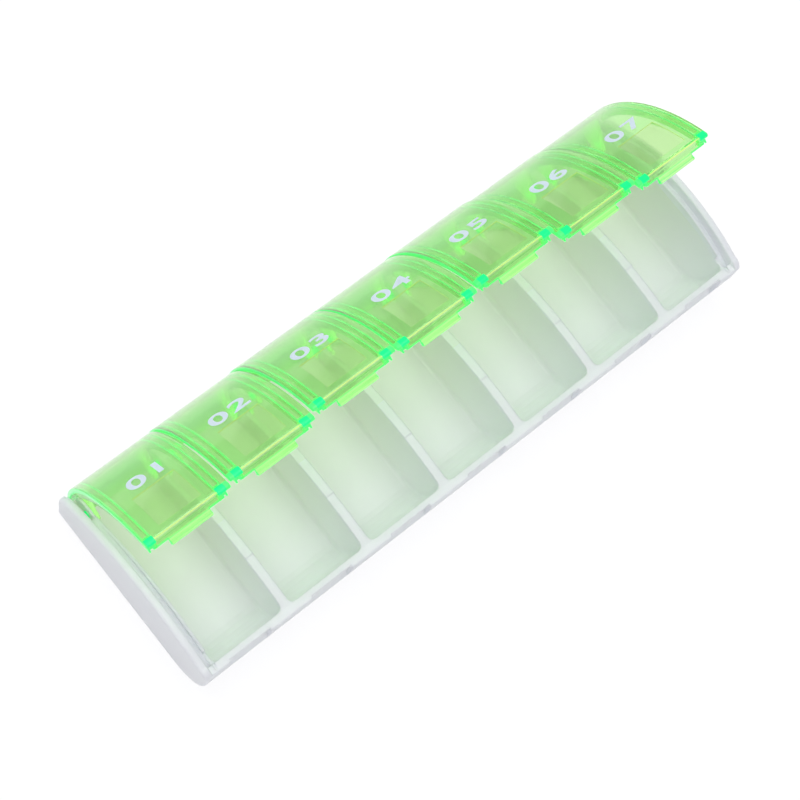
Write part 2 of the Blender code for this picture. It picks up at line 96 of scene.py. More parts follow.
@dataclass(frozen=True)
class Moulded:
    """An injection-moulded plastic, with soft clouds of colour and a fine mould texture.

    The clouds are the slow change of colour that flowing plastic leaves. The grain is the steel's own
    texture, drawn coarser than it is so that it shows. A finish may also shade its edges as if they
    were rounded by round_mm, give off a painted glow by its glow, and take on two inner colours, front and
    back, inside the wells, which are painted green light there, with a painted glow of their own.
    """

    name: str
    pale: str
    deep: str
    roughness: float
    transmission: float = 0.0
    ior: float = 1.49
    specular: float = 0.5
    cloud_mm: float = 9.0
    grain_mm: float = 0.5
    relief_mm: float = 0.004
    gloss_spread: float = 0.05
    subsurface: float = 0.0
    glow: float = 0.0
    round_mm: float = 0.0
    inner: tuple[str, str] | None = None
    painted_well_glow: float = 0.05

    def material(self) -> bpy.types.Material:
        """Make the finish as a node material.

        Returns:
            The material, read by Object coordinates alone.
        """
        made = bpy.data.materials.new(self.name)
        made.use_nodes = True
        tree = made.node_tree
        shader = tree.nodes["Principled BSDF"]
        values = {
            "IOR": self.ior,
            "Transmission Weight": self.transmission,
            "Specular IOR Level": self.specular,
            "Subsurface Weight": self.subsurface,
            "Subsurface Scale": 2.0 * MM,
            "Subsurface Radius": (1.0, 1.0, 1.0),
        }
        for name, value in values.items():
            shader.inputs[name].default_value = value
        # Painted glow: the emission makes the part give off light though it is no lamp
        if self.glow:
            shader.inputs["Emission Color"].default_value = linear(self.deep)
            shader.inputs["Emission Strength"].default_value = self.glow
        place = add_node(tree, "ShaderNodeTexCoord").outputs["Object"]
        cloud = add_node(
            tree,
            "ShaderNodeTexNoise",
            {"Scale": 1 / (self.cloud_mm * MM), "Detail": 2.0, "Roughness": 0.45},
            {"Vector": place},
        )
        colour = add_node(
            tree,
            "ShaderNodeMix",
            {"data_type": "RGBA", "6": linear(self.pale), "7": linear(self.deep)},
            {"0": cloud.outputs["Fac"]},
        )
        grain = add_node(
            tree,
            "ShaderNodeTexNoise",
            {"Scale": 1 / (self.grain_mm * MM), "Detail": 3.0, "Roughness": 0.6},
            {"Vector": place},
        )
        gloss = add_node(
            tree,
            "ShaderNodeMapRange",
            {"To Min": self.roughness - self.gloss_spread, "To Max": self.roughness + self.gloss_spread},
            {"Value": grain.outputs["Fac"]},
        )
        relief = add_node(
            tree,
            "ShaderNodeBump",
            {"Strength": 1.0, "Distance": self.relief_mm * MM},
            {"Height": grain.outputs["Fac"]},
        )
        if self.round_mm:
            soft = add_node(tree, "ShaderNodeBevel", {"samples": 6, "Radius": self.round_mm * MM})
            tree.links.new(soft.outputs["Normal"], relief.inputs["Normal"])
        # Painted light in the wells: the colour turns greener towards the back and the plastic gets a painted
        # glow, for the lids' green light and the light through the thin walls
        if self.inner:
            wells = Wells()
            share = wells.share(tree, place)
            front, back = (linear(code) for code in self.inner)
            lit = add_node(
                tree,
                "ShaderNodeMix",
                {"data_type": "RGBA", "6": front, "7": back},
                {"0": wells.depth(tree, place)},
            )
            colour = add_node(
                tree,
                "ShaderNodeMix",
                {"data_type": "RGBA"},
                {"0": share, "6": colour.outputs[2], "7": lit.outputs[2]},
            )
            shine = add_node(
                tree, "ShaderNodeMath", {"operation": "MULTIPLY", "1": self.painted_well_glow}, {"0": share}
            )
            shader.inputs["Emission Color"].default_value = front
            tree.links.new(shine.outputs[0], shader.inputs["Emission Strength"])
        tree.links.new(colour.outputs[2], shader.inputs["Base Color"])
        tree.links.new(gloss.outputs["Result"], shader.inputs["Roughness"])
        tree.links.new(relief.outputs["Normal"], shader.inputs["Normal"])
        return made


@dataclass(frozen=True)
class Wells:
    """The space under the closed lids, where the white plastic has the lids' green light painted into its
    colour.
    """

    dome_y: float = -4.27 * MM
    dome_z: float = -19.36 * MM
    inside_reach: float = 38.6 * MM
    outside_reach: float = 40.4 * MM
    middle: tuple[float, float, float] = (0.0, 0.4 * MM, 10.3 * MM)
    halves: tuple[float, float, float] = (72.9 * MM, 22.7 * MM, 9.0 * MM)
    front_y: float = -22 * MM
    back_y: float = 8 * MM

    def share(self, tree: bpy.types.NodeTree, place: bpy.types.NodeSocket) -> bpy.types.NodeSocket:
        """How far a place lies inside the wells.

        The share falls from one to nought as the distance from the lids' arc centre, the root of
        (Y - y)^2 + (Z - z)^2, grows from inside_reach to outside_reach. It is nought outside the box
        with that middle and those halves.

        Args:
            tree: the material's node tree.
            place: the Object coordinates.

        Returns:
            The share, from nought to one.
        """
        from_centre = add_node(
            tree,
            "ShaderNodeVectorMath",
            {"operation": "SUBTRACT", "1": (0, self.dome_y, self.dome_z)},
            {"0": place},
        )
        flat = add_node(
            tree,
            "ShaderNodeVectorMath",
            {"operation": "MULTIPLY", "1": (0, 1, 1)},
            {"0": from_centre.outputs["Vector"]},
        )
        reach = add_node(tree, "ShaderNodeVectorMath", {"operation": "LENGTH"}, {"0": flat.outputs["Vector"]})
        share = add_node(
            tree,
            "ShaderNodeMapRange",
            {"From Min": self.outside_reach, "From Max": self.inside_reach},
            {"Value": reach.outputs["Value"]},
        ).outputs["Result"]
        off = add_node(
            tree, "ShaderNodeVectorMath", {"operation": "SUBTRACT", "1": self.middle}, {"0": place}
        )
        apart = add_node(
            tree, "ShaderNodeVectorMath", {"operation": "ABSOLUTE"}, {"0": off.outputs["Vector"]}
        )
        sides = add_node(tree, "ShaderNodeSeparateXYZ", {}, {"Vector": apart.outputs["Vector"]})
        for axis, half in zip("XYZ", self.halves):
            within = add_node(
                tree, "ShaderNodeMath", {"operation": "LESS_THAN", "1": half}, {"0": sides.outputs[axis]}
            )
            share = add_node(
                tree, "ShaderNodeMath", {"operation": "MULTIPLY"}, {"0": share, "1": within.outputs[0]}
            ).outputs[0]
        return share

    def depth(self, tree: bpy.types.NodeTree, place: bpy.types.NodeSocket) -> bpy.types.NodeSocket:
        """How far back a place lies: (Y - front_y) / (back_y - front_y), kept from nought to one.

        Args:
            tree: the material's node tree.
            place: the Object coordinates.

        Returns:
            Nought at the wells' front and one towards their back.
        """
        along = add_node(tree, "ShaderNodeSeparateXYZ", {}, {"Vector": place})
        return add_node(
            tree,
            "ShaderNodeMapRange",
            {"From Min": self.front_y, "From Max": self.back_y},
            {"Value": along.outputs["Y"]},
        ).outputs["Result"]


class Finish(Enum):
    """The box's finishes, each named for what it is and how its surface was made, or for the painted light
    that it carries.
    """

    # Polypropylene, moulded in a polished tool: a soft waxy white that turns lavender in shade
    # In the wells its colour is painted greener towards the back, with a painted glow, for the lids' green
    # light
    TRAY = Moulded(
        "polypropylene_moulded_white", "F8F9FF", "F3F4FC", 0.38, subsurface=0.8, cloud_mm=14.0,
        round_mm=0.45, inner=("F1F2F5", "E9EDE1"),
    )
    # Clear polystyrene with a neon green dye: a thin wall passes most light and looks yellow green, with a
    # faint painted glow
    WALL = Moulded(
        "polystyrene_clear_green_wall", "C0F4A8", "B8F09C", 0.07, transmission=0.9, ior=1.5,
        relief_mm=0.0015, grain_mm=1.6, gloss_spread=0.02, glow=0.03,
    )
    # The shallow panel on the wall, a little frosted by its own patch of the tool, paler, with a faint
    # painted glow
    PANEL = Moulded(
        "polystyrene_clear_green_panel", "DAF4BA", "D2EEB0", 0.12, transmission=0.9, ior=1.5,
        relief_mm=0.002, grain_mm=0.8, gloss_spread=0.03, glow=0.02,
    )
    # The same plastic seen along a rib or edge, deeper green where the dye gathers light, with a strong
    # painted glow
    RIB = Moulded(
        "polystyrene_clear_green_rib", "60F888", "50F47C", 0.12, transmission=0.5, ior=1.5,
        relief_mm=0.0015, grain_mm=1.6, gloss_spread=0.02, glow=0.42,
    )
    # The solid corner posts, so thick that the dye lets out only a bright blue green, with a painted glow
    POST = Moulded(
        "polystyrene_clear_green_post", "0CFF94", "04FA88", 0.12, transmission=0.1, ior=1.5,
        relief_mm=0.0015, grain_mm=1.6, gloss_spread=0.02, glow=0.3,
    )
    # The roll at the back, painted a cooler green for how light runs through and off the curved wall, with a
    # faint painted glow
    ROLL = Moulded(
        "polystyrene_clear_green_roll", "B2F2B4", "A8EEAA", 0.08, transmission=0.85, ior=1.5,
        relief_mm=0.0015, grain_mm=1.6, gloss_spread=0.02, glow=0.03,
    )
    # The snap tongue, solid, with a painted glow for the light that its edges gather; the lugs and the wall's
    # right edge take it too
    TONGUE = Moulded(
        "polystyrene_clear_green_tongue", "D0FFB0", "C6FAA4", 0.1, transmission=0.6, ior=1.5,
        relief_mm=0.0015, grain_mm=1.6, gloss_spread=0.02, glow=0.16,
    )
    # The wall's front bend, painted pale yellow as a highlight, with a painted glow
    BEND = Moulded(
        "polystyrene_clear_green_bend", "ECFF94", "E4FF88", 0.1, transmission=0.5, ior=1.5,
        relief_mm=0.0015, grain_mm=1.6, gloss_spread=0.02, glow=0.15,
    )
    # Pad-printed ink: thin, matt and a cool white
    PRINT = Moulded(
        "ink_pad_printed_white", "ECF8FF", "DEF2FB", 0.5, cloud_mm=1.2, grain_mm=0.25, relief_mm=0.006
    )


@dataclass
class Solid:
    """A closed surface as plain arrays: places in metres and faces as tuples of place numbers."""

    places: np.ndarray
    faces: list[tuple[int, ...]]

    def mesh(self, name: str) -> bpy.types.Mesh:
        """Put the surface into a mesh.

        Args:
            name: the mesh's name.

        Returns:
            The new mesh, without a material.
        """
        made = bpy.data.meshes.new(name)
        made.from_pydata(self.places, [], self.faces)
        made.update()
        return made


def arc(
    centre: tuple[float, float], radius: float, start: float, stop: float, step: float = 2.5
) -> np.ndarray:
    """Places on a circle from one angle to the other, both ends kept: centre + radius (cos a, sin a).

    Args:
        centre: y and z of the circle's centre.
        radius: its radius in metres.
        start: the first angle in degrees.
        stop: the last angle in degrees.
        step: the largest angle between two places, in degrees.

    Returns:
        An array of y and z, one row for each place.
    """
    count = max(2, math.ceil(abs(stop - start) / step)) + 1
    angle = np.radians(np.linspace(start, stop, count))
    return np.column_stack([centre[0] + radius * np.cos(angle), centre[1] + radius * np.sin(angle)])


def inset(outline: np.ndarray, depth: float) -> np.ndarray:
    """Draw a closed outline inwards by an even depth.

    Each corner moves along the sum of its two edges' inward normals, divided by one plus their dot
    product, which keeps both edges at that depth. A product below the least counts as the least, so
    that a needle-sharp corner doesn't shoot past the outline.

    Args:
        outline: y and z of a closed outline that runs anticlockwise.
        depth: how far in, in metres.

    Returns:
        The new outline, with as many places.
    """
    before = outline - np.roll(outline, 1, axis=0)
    before /= np.linalg.norm(before, axis=1, keepdims=True)
    after = np.roll(before, -1, axis=0)
    normal_before = np.column_stack([-before[:, 1], before[:, 0]])
    normal_after = np.column_stack([-after[:, 1], after[:, 0]])
    least = -0.6
    spread = 1 + np.clip((normal_before * normal_after).sum(axis=1, keepdims=True), least, 1.0)
    return outline + depth * (normal_before + normal_after) / spread


def anticlockwise(outline: np.ndarray) -> np.ndarray:
    """Let a closed outline run anticlockwise.

    Its signed area tells: the sum of each y times the next z, less each z times the next y.

    Args:
        outline: y and z of the closed outline.

    Returns:
        The same places, in the other order if the area is negative.
    """
    y, z = outline.T
    area = (y * np.roll(z, -1) - z * np.roll(y, -1)).sum()
    return outline if area > 0 else outline[::-1]


def filleted(outline: np.ndarray, radius: float, steps: int = 4, least_turn: float = 25.0) -> np.ndarray:
    """Round every sharp corner of a closed outline.

    A corner that turns by more than least_turn is cut back along both edges by the same length and
    bridged by a quadratic curve whose middle handle is the old corner.

    Args:
        outline: y and z of the closed outline.
        radius: how far back from a corner its curve starts, in metres, at most 0.45 of the edge.
        steps: how many edges the curve has.
        least_turn: the smallest turn, in degrees, that counts as a corner.

    Returns:
        The outline with its corners rounded.
    """
    to_last = np.roll(outline, 1, axis=0) - outline
    to_next = np.roll(outline, -1, axis=0) - outline
    length_last = np.linalg.norm(to_last, axis=1)
    length_next = np.linalg.norm(to_next, axis=1)
    unit_last = to_last / length_last[:, None]
    unit_next = to_next / length_next[:, None]
    turn = 180 - np.degrees(np.arccos(np.clip((unit_last * unit_next).sum(axis=1), -1, 1)))
    share = np.linspace(0, 1, steps + 1)[:, None]
    rows = []
    for i in range(len(outline)):
        if turn[i] < least_turn:
            rows.append(outline[i : i + 1])
            continue
        back = min(radius, 0.45 * length_last[i], 0.45 * length_next[i])
        start = outline[i] + unit_last[i] * back
        stop = outline[i] + unit_next[i] * back
        rows.append((1 - share) ** 2 * start + 2 * share * (1 - share) * outline[i] + share**2 * stop)
    return np.vstack(rows)


def plate(
    outline: np.ndarray,
    low_x: float,
    high_x: float,
    radius: float,
    steps: int = 3,
    stations: tuple[float, ...] = (),
) -> Solid:
    """A plate with one outline all along X and round edges at both ends.

    Ring k of an end stands in by radius (1 - sin t) from the end's plane while its outline is drawn in
    by radius (1 - cos t), for t from a right angle down to nothing, which is a quarter circle.

    Args:
        outline: y and z of the plate's closed outline.
        low_x: X of one end.
        high_x: X of the other end.
        radius: radius of the round edges, in metres.
        steps: how many rings each round edge has.
        stations: further places along X that get a ring, so that faces end there.

    Returns:
        The closed surface, its faces outwards.
    """
    ring = anticlockwise(outline)
    turns = np.linspace(math.pi / 2, 0, steps + 1)
    depths = radius * (1 - np.cos(turns))
    steps_in = radius * (1 - np.sin(turns))
    between = [x for x in sorted(stations) if low_x + radius < x < high_x - radius]
    places = np.concatenate([low_x + steps_in, between, (high_x - steps_in)[::-1]])
    insets = np.concatenate([depths, np.zeros(len(between)), depths[::-1]])
    rings = [np.column_stack([np.full(len(ring), x), inset(ring, d)]) for x, d in zip(places, insets)]
    count = len(ring)
    number = np.arange(count)
    after = np.roll(number, -1)
    faces: list[tuple[int, ...]] = [tuple(number[::-1].tolist())]
    for k in range(len(rings) - 1):
        low, high = k * count, (k + 1) * count
        quads = np.column_stack([low + number, low + after, high + after, high + number])
        faces += [tuple(row) for row in quads.tolist()]
    faces.append(tuple((number + (len(rings) - 1) * count).tolist()))
    return Solid(np.vstack(rings), faces)


def on_side(sign: int, near: float, far: float) -> tuple[float, float]:
    """X of both ends, the lower first, of a part from near to far on the side with that sign."""
    return (near, far) if sign > 0 else (-far, -near)


def rod(centre: tuple[float, float], radius: float, low_x: float, high_x: float, edge: float) -> Solid:
    """A round rod along X with softened rims, from the outline of a circle."""
    return plate(arc(centre, radius, 0, 360 - 7.5, 7.5), low_x, high_x, edge, 2)


def fused(name: str, solids: list[tuple[Solid, bpy.types.Material]], cuts: list[Solid]) -> bpy.types.Mesh:
    """Fuse closed surfaces into one, and take others away from it.

    Args:
        name: the new mesh's name.
        solids: each surface with the material that its faces keep.
        cuts: surfaces to take away, which leave the first solid's material.

    Returns:
        One closed mesh.
    """
    whole = None
    for solid, material in solids + [(cut, solids[0][1]) for cut in cuts]:
        mesh = solid.mesh(name)
        mesh.materials.append(material)
        item = bpy.data.objects.new(name, mesh)
        bpy.context.scene.collection.objects.link(item)
        if whole is None:
            whole = item
            continue
        step = whole.modifiers.new("fuse", "BOOLEAN")
        step.operation = "DIFFERENCE" if any(solid is cut for cut in cuts) else "UNION"
        step.object = item
        step.solver = "MANIFOLD"
        step.material_mode = "TRANSFER"
        bpy.context.view_layer.update()
        result = bpy.data.meshes.new_from_object(
            whole.evaluated_get(bpy.context.evaluated_depsgraph_get())
        )
        whole.modifiers.clear()
        whole.data = result
        bpy.data.objects.remove(item, do_unlink=True)
    made = whole.data
    bpy.data.objects.remove(whole, do_unlink=True)
    return made


def places_of(mesh: bpy.types.Mesh) -> np.ndarray:
    """Read all vertex places of a mesh.

    Args:
        mesh: the mesh.

    Returns:
        An array of x, y and z, one row for each vertex.
    """
    flat = np.empty(len(mesh.vertices) * 3, np.float32)
    mesh.vertices.foreach_get("co", flat)
    return flat.reshape(-1, 3).astype(float)


def set_places(mesh: bpy.types.Mesh, places: np.ndarray) -> None:
    """Move all vertices of a mesh to new places."""
    mesh.vertices.foreach_set("co", places.astype(np.float32).ravel())
    mesh.update()


@dataclass
class Hinge:
    """The line that all lids swing on, and the curve of a closed lid about it.

    The nose and tangent angles are those of the dome's arc about its own centre, and the roll's and
    tail's are about the hinge line, all in degrees from Y towards Z.
    """

    y: float = 18.25 * MM
    z: float = 10.5 * MM
    roll_radius: float = 5.6 * MM
    dome_radius: float = 43.0 * MM
    dome_y: float = -4.269118 * MM
    dome_z: float = -19.360498 * MM
    nose_angle: float = 114.571136
    tangent_angle: float = 52.978444
    roll_end_angle: float = 35.0
    tail_end_angle: float = -25.0

    @property
    def line(self) -> tuple[float, float]:
        """Y and Z of the hinge line."""
        return (self.y, self.z)

    @property
    def dome(self) -> tuple[float, float]:
        """Y and Z of the centre of the lid's wide arc."""
        return (self.dome_y, self.dome_z)

    def dome_height(self, y: float, depth: float) -> float:
        """Height of the closed lid's arc at y, drawn in by depth."""
        radius = self.dome_radius - depth
        return self.dome_z + math.sqrt(radius**2 - (y - self.dome_y) ** 2)

    def dome_turn(self, y: float, depth: float) -> float:
        """Angle in degrees of the arc's place at y, drawn in by depth."""
        return math.degrees(math.acos((y - self.dome_y) / (self.dome_radius - depth)))

    def swung(self, places: np.ndarray, middle_x: float, degrees: float) -> np.ndarray:
        """Turn places of a closed lid about the hinge line by its opening, and put them over their well.

        Args:
            places: places of the closed lid, with its middle at X = 0.
            middle_x: X of the well's middle.
            degrees: how far the lid stands open.

        Returns:
            The places as the lid stands.
        """
        turn = math.radians(-degrees)
        y, z = places[:, 1] - self.y, places[:, 2] - self.z
        return np.column_stack(
            [
                places[:, 0] + middle_x,
                self.y + y * math.cos(turn) - z * math.sin(turn),
                self.z + y * math.sin(turn) + z * math.cos(turn),
            ]
        )


class Side(Enum):
    """Whether a lid's left and its right side meet an end wall instead of another lid."""

    NONE = (False, False)
    LEFT = (True, False)
    RIGHT = (False, True)


@dataclass
class Lid:
    """One clear snap lid: curved wall, side ribs, corner posts, front skirt, snap tongue, lugs and pins."""

    hinge: Hinge = field(default_factory=Hinge)
    wall: float = 1.2 * MM
    half_by_lid: float = 10.3 * MM
    half_by_end: float = 9.5 * MM
    rib_wall: float = 0.4 * MM
    rib_depth: float = 1.5 * MM
    inner_rib_x: float = 7.5 * MM
    outer_rib_x: float = 9.05 * MM
    rib_end_angle: float = 66.0
    skirt_y: float = -21.85 * MM
    skirt_z: float = 17.4 * MM
    skirt_wall: float = 1.0 * MM
    post_depth: float = 1.9 * MM
    post_corner: float = 1.1 * MM
    post_step: float = 0.9 * MM
    snap_half: float = 4.9 * MM
    snap_drop: float = 1.65 * MM
    snap_bead: float = 0.15 * MM
    snap_setback: float = 0.3 * MM
    bead_height: float = 0.5 * MM
    panel_half: float = 4.95 * MM
    panel_depth: float = 0.15 * MM
    panel_angles: tuple[float, float] = (112.4, 99.2)
    lug_wall: float = 0.8 * MM
    lug_radius: float = 2.4 * MM
    pin_radius: float = 0.85 * MM
    pin_end_by_lid: float = 10.35 * MM
    edge: float = 0.22 * MM
    rib_round: float = 0.12 * MM
    post_round: float = 0.2 * MM
    snap_round: float = 0.3 * MM
    lug_round: float = 0.15 * MM
    pin_round: float = 0.15 * MM
    panel_round: float = 0.1 * MM
    tail_corner: float = 0.3 * MM
    skirt_corner: float = 0.2 * MM
    snap_corner: float = 0.15 * MM
    dome_step: float = 1.2
    rib_step: float = 1.5
    bend_turn: float = 30.0
    post_turn: float = 1.2
    sharp_turn: float = 34.0

    def nose(self) -> tuple[float, float]:
        """Find the middle of the wall's round front edge.

        Returns:
            Its Y and Z.
        """
        middle = self.hinge.dome_radius - self.wall / 2
        turn = math.radians(self.hinge.nose_angle)
        return (self.hinge.dome_y + middle * math.cos(turn), self.hinge.dome_z + middle * math.sin(turn))

    def skin_outline(self) -> np.ndarray:
        """The wall seen from its end: the outer curve, and the inner one drawn in by the wall.

        Returns:
            Y and Z of the closed outline.
        """
        h = self.hinge
        nose = self.nose()
        outer = np.vstack(
            [
                arc(h.dome, h.dome_radius, h.nose_angle, h.tangent_angle, self.dome_step),
                arc(h.line, h.roll_radius, h.tangent_angle, h.roll_end_angle)[1:],
            ]
        )
        inner = np.vstack(
            [
                arc(h.dome, h.dome_radius - self.wall, h.nose_angle, h.tangent_angle, self.dome_step),
                arc(h.line, h.roll_radius - self.wall, h.tangent_angle, h.roll_end_angle)[1:],
            ]
        )
        tip = arc(nose, self.wall / 2, h.nose_angle + 180, h.nose_angle, 15)[1:-1]
        return np.vstack([outer, inner[::-1], tip])

    def tail_outline(self) -> np.ndarray:
        """The roll's narrower tail that runs on down behind the hinge, a hair under the roll.

        Returns:
            Y and Z of the closed outline.
        """
        h = self.hinge
        start = h.roll_end_angle + 6
        outer = arc(h.line, h.roll_radius - 0.01 * MM, start, h.tail_end_angle)
        inner = arc(h.line, h.roll_radius - self.wall, start, h.tail_end_angle)
        return filleted(np.vstack([outer, inner[::-1]]), self.tail_corner)

    def rib_outline(self) -> np.ndarray:
        """A thin rib under the wall, from the front skirt back to the lug.

        Returns:
            Y and Z of the closed outline.
        """
        h = self.hinge
        sink = self.wall / 2
        low = self.wall + self.rib_depth
        front_y = self.skirt_y + self.skirt_wall / 2
        upper, lower = (
            arc(h.dome, h.dome_radius - depth, h.dome_turn(front_y, depth), self.rib_end_angle, self.rib_step)
            for depth in (sink, low)
        )
        return np.vstack([upper, lower[::-1]])

    def lug_outline(self) -> np.ndarray:
        """The plate that drops from the wall to the hinge line and carries a pin.

        Returns:
            Y and Z of the closed outline.
        """
        h = self.hinge
        sink = self.wall / 2
        under = arc(h.line, self.lug_radius, -200, 0, 8)
        roll = arc(h.line, h.roll_radius - sink, h.roll_end_angle, h.tangent_angle)
        dome = arc(h.dome, h.dome_radius - sink, h.tangent_angle, self.rib_end_angle)
        return np.vstack([under, roll, dome[1:]])

    def skirt_outline(self, depth: float, setback: float = 0.0) -> np.ndarray:
        """The front skirt or a post seen from its end.

        Args:
            depth: how far its back lies behind the skirt's front.
            setback: how far its own front lies behind it.

        Returns:
            Y and Z of the closed outline.
        """
        sink = self.wall / 2
        front_y = self.skirt_y + setback
        back_y = self.skirt_y + depth
        corners = [
            (front_y, self.skirt_z),
            (back_y, self.skirt_z),
            (back_y, self.hinge.dome_height(back_y, sink)),
            (front_y, self.hinge.dome_height(front_y, sink)),
        ]
        return filleted(np.array(corners), self.skirt_corner)

    def snap_outline(self) -> np.ndarray:
        """The snap tongue seen from its end, with a small bead on its outer face.

        Returns:
            Y and Z of the closed outline.
        """
        front_y = self.skirt_y + self.snap_setback
        back_y = self.skirt_y + self.skirt_wall
        tip_z = self.skirt_z - self.snap_drop
        root_z = self.skirt_z + self.skirt_wall / 2
        corners = [
            (front_y, root_z),
            (front_y, tip_z + 2.2 * self.bead_height),
            (self.skirt_y - self.snap_bead, tip_z + 1.5 * self.bead_height),
            (self.skirt_y - self.snap_bead, tip_z + 0.5 * self.bead_height),
            (front_y, tip_z),
            (back_y, tip_z),
            (back_y, root_z),
        ]
        return filleted(np.array(corners), self.snap_corner)

    def panel_cut(self) -> Solid:
        """The shallow sunk panel behind the front edge.

        Returns:
            The closed surface to take away, which reaches well above the wall.
        """
        h = self.hinge
        front, back = self.panel_angles
        above = 1 * MM
        outer = arc(h.dome, h.dome_radius + above, front, back, self.dome_step)
        inner = arc(h.dome, h.dome_radius - self.panel_depth, front, back, self.dome_step)
        outline = np.vstack([outer, inner[::-1]])
        return plate(outline, -self.panel_half, self.panel_half, self.panel_round, 2)

    def mesh(self, side: Side) -> bpy.types.Mesh:
        """Fuse the lid's parts in its closed place, its middle at X = 0.

        Args:
            side: which side meets an end wall.

        Returns:
            One closed mesh whose faces keep the finish of the part that they come from.
        """
        wall = material_of(Finish.WALL)
        post = material_of(Finish.POST)
        tongue = material_of(Finish.TONGUE)
        halves = [self.half_by_end if end else self.half_by_lid for end in side.value]
        pins = [self.half_by_end if end else self.pin_end_by_lid for end in side.value]
        outer_edge = self.outer_rib_x + self.rib_wall / 2
        inner_edge = self.inner_rib_x - self.rib_wall / 2
        tails = [self.inner_rib_x + self.rib_wall / 2 if end else outer_edge for end in side.value]
        stations = (-outer_edge, -inner_edge, inner_edge, outer_edge)
        skirt = self.skirt_outline(self.skirt_wall)
        skirt_half = outer_edge - self.post_corner
        full = self.skirt_outline(self.post_depth)
        stepped = self.skirt_outline(self.post_depth, self.post_step)
        parts = [
            (plate(self.skin_outline(), -halves[0], halves[1], self.edge, 3, stations), wall),
            (plate(self.tail_outline(), -tails[0], tails[1], self.edge), wall),
            (plate(skirt, -skirt_half, skirt_half, self.edge), wall),
            (plate(self.snap_outline(), -self.snap_half, self.snap_half, self.snap_round), tongue),
        ]
        for sign, pin_end in zip((-1, 1), pins):
            for middle in (self.inner_rib_x, self.outer_rib_x):
                ends = on_side(sign, middle - self.rib_wall / 2, middle + self.rib_wall / 2)
                parts.append((plate(self.rib_outline(), *ends, self.rib_round, 2), wall))
            # A post is two plates, the outer one stepped back to clear the well's round corner
            ends = on_side(sign, inner_edge, outer_edge - self.post_step)
            parts.append((plate(full, *ends, self.post_round), post))
            ends = on_side(sign, inner_edge + self.post_step, outer_edge)
            parts.append((plate(stepped, *ends, self.post_round), post))
            # The lugs take the tongue's painted glow and the pins the posts' painted glow
            ends = on_side(sign, inner_edge - self.lug_wall + self.rib_wall, inner_edge + self.rib_wall)
            parts.append((plate(self.lug_outline(), *ends, self.lug_round, 2), tongue))
            ends = on_side(sign, self.inner_rib_x, pin_end)
            parts.append((rod(self.hinge.line, self.pin_radius, *ends, self.pin_round), post))
        mesh = fused(f"lid_{side.name.lower()}", parts, [self.panel_cut()])
        self.tint(mesh, halves)
        mesh.shade_smooth()
        mesh.set_sharp_from_angle(angle=math.radians(self.sharp_turn))
        return mesh

    def tint(self, mesh: bpy.types.Mesh, halves: list[float]) -> None:
        """Give the places where one looks along the plastic, or where light catches it, their own finish,
        with a painted glow, highlight or cooler green.

        The rules run in this order, and a later one wins: the ribs' lower edges, the tongue's bead,
        sides and tip, the skirt's lower edge, the roll, the sunk panel, the front bend with the panel's
        lip, the posts' heads and faces, the bend beyond the posts, and the wall's two side edges.

        Args:
            mesh: the fused lid in its closed place.
            halves: how far the wall reaches to the left and the right.
        """
        number = {}
        used = (Finish.WALL, Finish.RIB, Finish.POST, Finish.BEND, Finish.PANEL, Finish.ROLL, Finish.TONGUE)
        for finish in used:
            material = material_of(finish)
            if material.name not in mesh.materials:
                mesh.materials.append(material)
            number[finish] = list(mesh.materials).index(material)
        count = len(mesh.polygons)
        centres = np.empty(count * 3, np.float32)
        mesh.polygons.foreach_get("center", centres)
        normals = np.empty(count * 3, np.float32)
        mesh.polygons.foreach_get("normal", normals)
        chosen = np.empty(count, np.int32)
        mesh.polygons.foreach_get("material_index", chosen)
        x, y, z = centres.reshape(-1, 3).T
        normal_x, normal_y, normal_z = normals.reshape(-1, 3).T
        wide = np.abs(x)
        h = self.hinge
        turn = np.degrees(np.arctan2(z - h.dome_z, y - h.dome_y))
        reach = np.hypot(y - h.dome_y, z - h.dome_z)
        inwards = -(normal_y * (y - h.dome_y) + normal_z * (z - h.dome_z)) / reach
        outer_edge = self.outer_rib_x + self.rib_wall / 2
        inner_edge = self.inner_rib_x - self.rib_wall / 2
        in_post = (wide > inner_edge) & (wide < outer_edge)
        at_nose = turn > h.nose_angle - self.post_turn

        # A rib's lower edge looks straight at the dome's centre from the rib's full depth, and takes the
        # rib's painted glow
        slack = 0.05 * MM
        rib_edge = (inwards > 0.9) & (reach < h.dome_radius - self.wall - self.rib_depth + slack)
        chosen[rib_edge & (wide > inner_edge - slack) & (z > self.skirt_z)] = number[Finish.RIB]

        # The tongue stays clear on the slope above its bead, and takes a painted glow at its sides and its
        # tip, as does the skirt's lower edge
        in_front = y < self.skirt_y + self.skirt_wall + 2 * slack
        on_snap = (wide < self.snap_half + self.edge) & (z < self.skirt_z) & in_front
        chosen[on_snap & (normal_y < -0.2) & (normal_z > 0.3)] = number[Finish.WALL]
        chosen[on_snap & ((np.abs(normal_x) > 0.5) | (normal_z < -0.5))] = number[Finish.RIB]
        skirt_edge = (wide < inner_edge) & in_front & (np.abs(z - self.skirt_z) < self.edge)
        chosen[skirt_edge & (normal_z < -0.1)] = number[Finish.RIB]

        # The roll takes what is still plain wall, from three degrees before the arcs meet, with its painted
        # cooler green
        on_roll = (np.abs(turn) < h.tangent_angle + 3) & (z > h.z)
        chosen[on_roll & (chosen == number[Finish.WALL])] = number[Finish.ROLL]

